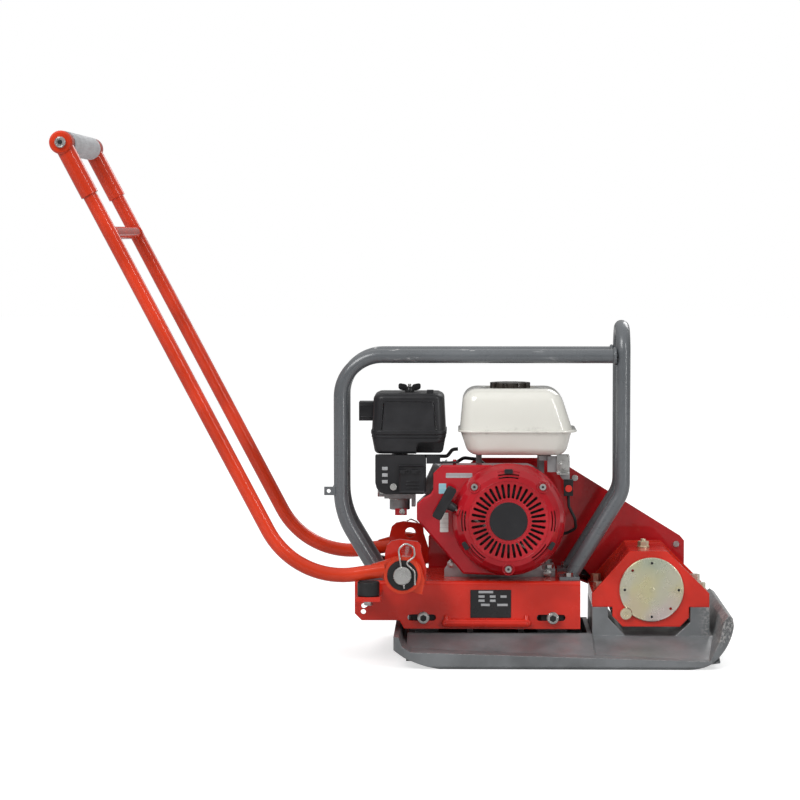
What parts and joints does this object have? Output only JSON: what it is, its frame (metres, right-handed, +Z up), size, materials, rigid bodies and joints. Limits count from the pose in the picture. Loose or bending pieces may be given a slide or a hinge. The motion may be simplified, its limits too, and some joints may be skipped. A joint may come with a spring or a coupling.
{
  "type": "forward vibratory plate compactor",
  "caption": "Engine-driven vibratory plate compactor: cast sole with upturned nose, belt-driven exciter, tube guard cage and a folding U-shaped push handle.",
  "frame": {"origin": "on the ground, under the middle of the base plate's footprint", "axes": "+X forward, towards the upturned nose; +Y to the belt-guard side; +Z up"},
  "size_m": [1.1702, 0.45, 0.9185],
  "materials": {
    "handle_red": "glossy orange-red paint",
    "frame_red": "glossy red powder coat, worn at the edges",
    "exciter_red": "glossy red paint over a casting",
    "guard_red": "deep red paint",
    "cowl_red": "glossy red stove enamel",
    "cage_grey": "glossy grey powder coat with scuffs",
    "plate_iron": "dark satin paint over cast iron, bare at the lips",
    "yellow_zinc": "iridescent yellow zinc plating",
    "bright_steel": "bright zinc plating",
    "pulley_iron": "machined casting",
    "engine_alloy": "die-cast, matte",
    "black_rubber": "matte",
    "grip_foam": "light grey, matte and slightly crazed",
    "black_plastic": "moulded, finely grained",
    "stop_red": "moulded",
    "tank_white": "glossy off-white enamel",
    "plate_black": "anodised, printed with blank fields",
    "filter_paper": "pleated paper",
    "rope_white": "braided"
  },
  "bodies": {
    "machine": {"deck": "frame_red", "handle_bracket": "frame_red", "exciter_housing": "exciter_red", "belt_guard_cover": "guard_red", "belt_guard_plate": "guard_red", "fan_shroud": "cowl_red", "recoil_cover": "cowl_red", "cage_rails": "cage_grey", "cage_hoop": "cage_grey", "base_plate": "plate_iron", "exciter_covers": "yellow_zinc", "exciter_cover_screws": "yellow_zinc", "exciter_foot_bolts": "yellow_zinc", "exciter_plugs": "yellow_zinc", "mount_bolts": "bright_steel", "frame_bolts": "bright_steel", "cowl_screws": "bright_steel", "pivot_pins": "bright_steel", "r_clips": "bright_steel", "ball_bearings": "bright_steel", "muffler": "bright_steel", "engine_block": "engine_alloy", "carburettor": "engine_alloy", "rocker_cover": "engine_alloy", "rubber_mounts": "black_rubber", "handle_buffers": "black_rubber", "v_belt": "black_rubber", "fuel_hose": "black_rubber", "shaft_seal": "black_rubber", "engine_wiring": "black_rubber", "air_cleaner_base": "black_plastic", "air_cleaner_cover": "black_plastic", "control_cover": "black_plastic", "centre_badge": "black_plastic", "fuel_tank": "tank_white", "rating_plate": "plate_black", "air_filter_element": "filter_paper"},
    "handle": {"handle_arm_near": "handle_red", "handle_arm_far": "handle_red", "hub_bushes": "black_rubber", "grip_bar": "bright_steel", "grip": "grip_foam", "grip_rings": "black_rubber", "grip_screws": "bright_steel", "handle_brace": "handle_red"},
    "crank": {"crankshaft": "bright_steel", "drive_pulley": "pulley_iron", "flywheel_fan": "engine_alloy"},
    "exciter_rotor": {"eccentric_shaft": "bright_steel", "exciter_pulley": "pulley_iron"},
    "starter": {"starter_rope": "rope_white", "starter_grip": "black_plastic"},
    "reel": {"rope_reel": "black_plastic"},
    "throttle": {"throttle_lever": "black_plastic"},
    "choke": {"choke_lever": "black_plastic"},
    "fuel_tap": {"fuel_tap_lever": "black_plastic"},
    "filler_cap": {"fuel_cap": "black_plastic"},
    "cover_nut": {"wing_nut": "black_plastic"},
    "oil_plug": {"oil_dipstick": "black_plastic"},
    "stop_switch": {"stop_button": "stop_red"}
  },
  "joints": [
    {"name": "handle_fold", "type": "hinge", "parent": "machine", "child": "handle", "pos_m": [-0.2765, 0, 0.159], "axis": [0, 1, 0], "range_deg": [0, 95]},
    {"name": "crank_spin", "type": "hinge", "parent": "machine", "child": "crank", "pos_m": [-0.094, 0, 0.245], "axis": [0, 1, 0], "continuous": true},
    {"name": "exciter_spin", "type": "hinge", "parent": "machine", "child": "exciter_rotor", "pos_m": [0.156, 0, 0.123], "axis": [0, 1, 0], "continuous": true},
    {"name": "starter_pull", "type": "slide", "parent": "machine", "child": "starter", "axis": [-0.8797, 0, 0.4756], "range_m": [0, 0.12], "stiffness_N_per_m": 80, "springref_m": -0.1},
    {"name": "reel_spin", "type": "hinge", "parent": "machine", "child": "reel", "pos_m": [-0.094, 0, 0.245], "axis": [0, 1, 0], "range_deg": [0, 150]},
    {"name": "throttle_turn", "type": "hinge", "parent": "machine", "child": "throttle", "pos_m": [-0.188, -0.066, 0.3425], "axis": [0, 0, 1], "range_deg": [0, 30]},
    {"name": "choke_turn", "type": "hinge", "parent": "machine", "child": "choke", "pos_m": [-0.27, -0.082, 0.327], "axis": [0, 1, 0], "range_deg": [0, 60]},
    {"name": "fuel_tap_turn", "type": "hinge", "parent": "machine", "child": "fuel_tap", "pos_m": [-0.249, -0.082, 0.327], "axis": [0, 1, 0], "range_deg": [-60, 0]},
    {"name": "cap_turn", "type": "hinge", "parent": "machine", "child": "filler_cap", "pos_m": [-0.09, -0.012, 0.473], "axis": [0, 0, 1], "range_deg": [0, 90]},
    {"name": "cover_nut_turn", "type": "hinge", "parent": "machine", "child": "cover_nut", "pos_m": [-0.268, -0.012, 0.471], "axis": [0, 0, 1], "continuous": true},
    {"name": "oil_plug_turn", "type": "hinge", "parent": "machine", "child": "oil_plug", "pos_m": [-0.165, 0.04, 0.192], "axis": [1, 0, 0], "continuous": true},
    {"name": "stop_press", "type": "slide", "parent": "machine", "child": "stop_switch", "axis": [0, 1, 0], "range_m": [0, 0.004], "stiffness_N_per_m": 400, "springref_m": -0.002}
  ],
  "couplings": [
    {"joint": "exciter_spin", "follows": "crank_spin", "ratio": 1.5789},
    {"joint": "reel_spin", "follows": "starter_pull", "rad_per_m": 20.833}
  ]
}
